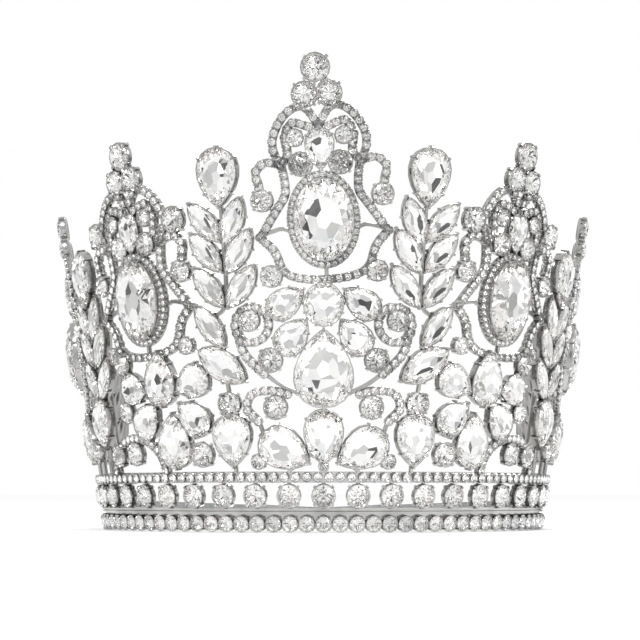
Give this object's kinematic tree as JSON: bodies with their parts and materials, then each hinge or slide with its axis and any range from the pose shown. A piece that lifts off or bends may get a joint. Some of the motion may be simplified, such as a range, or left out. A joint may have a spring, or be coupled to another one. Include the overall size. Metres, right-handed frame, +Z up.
{
  "type": "pageant crown",
  "caption": "Pageant crown of silver openwork with faceted clear stones in scrolls, sprays and flowers, on a stone-set band, with a flexible steel strip behind.",
  "frame": {"origin": "in the plane of the base band's lower edge, below the middle of the whole crown's box", "axes": "+Z up; the crown faces -Y, with its front peak there and its steel strip at +Y; +X is the right side of a viewer who stands before it"},
  "size_m": [0.1854, 0.1518, 0.1444],
  "materials": {
    "metal": "polished",
    "crystal": "faceted clear glass over silver foil",
    "strip": "brushed"
  },
  "bodies": {
    "root": {"base_band": "metal", "end_spray_left": "metal", "end_spray_right": "metal", "flower_drop": "crystal", "flower_middle": "crystal", "flower_pear": "crystal", "foot_petal_left": "crystal", "foot_petal_right": "crystal", "foot_side_petal_left": "crystal", "foot_side_petal_right": "crystal", "front_crest_pear": "crystal", "front_oval": "crystal", "front_panel": "metal", "head_strip_left": "strip", "head_strip_middle": "strip", "head_strip_right": "strip", "inner_side_petal_left": "crystal", "inner_side_petal_right": "crystal", "low_side_petal_left": "crystal", "low_side_petal_right": "crystal", "lower_petal_left": "crystal", "lower_petal_right": "crystal", "outer_side_petal_left": "crystal", "outer_side_petal_right": "crystal", "rear_oval_left": "crystal", "rear_oval_right": "crystal", "rear_panel_left": "metal", "rear_panel_right": "metal", "rear_spray_left": "metal", "rear_spray_right": "metal", "side_crest_pear_left": "crystal", "side_crest_pear_right": "crystal", "side_oval_left": "crystal", "side_oval_right": "crystal", "side_panel_left": "metal", "side_panel_right": "metal", "spray_left": "metal", "spray_left_foot_leaf": "crystal", "spray_left_leaf_1": "crystal", "spray_left_leaf_2": "crystal", "spray_left_leaf_3": "crystal", "spray_left_leaf_4": "crystal", "spray_left_leaf_5": "crystal", "spray_left_leaf_6": "crystal", "spray_left_leaf_7": "crystal", "spray_left_pear": "crystal", "spray_right": "metal", "spray_right_foot_leaf": "crystal", "spray_right_leaf_1": "crystal", "spray_right_leaf_2": "crystal", "spray_right_leaf_3": "crystal", "spray_right_leaf_4": "crystal", "spray_right_leaf_5": "crystal", "spray_right_leaf_6": "crystal", "spray_right_leaf_7": "crystal", "spray_right_pear": "crystal", "top_side_petal_left": "crystal", "top_side_petal_right": "crystal", "upper_petal_left": "crystal", "upper_petal_right": "crystal"}
  },
  "joints": []
}
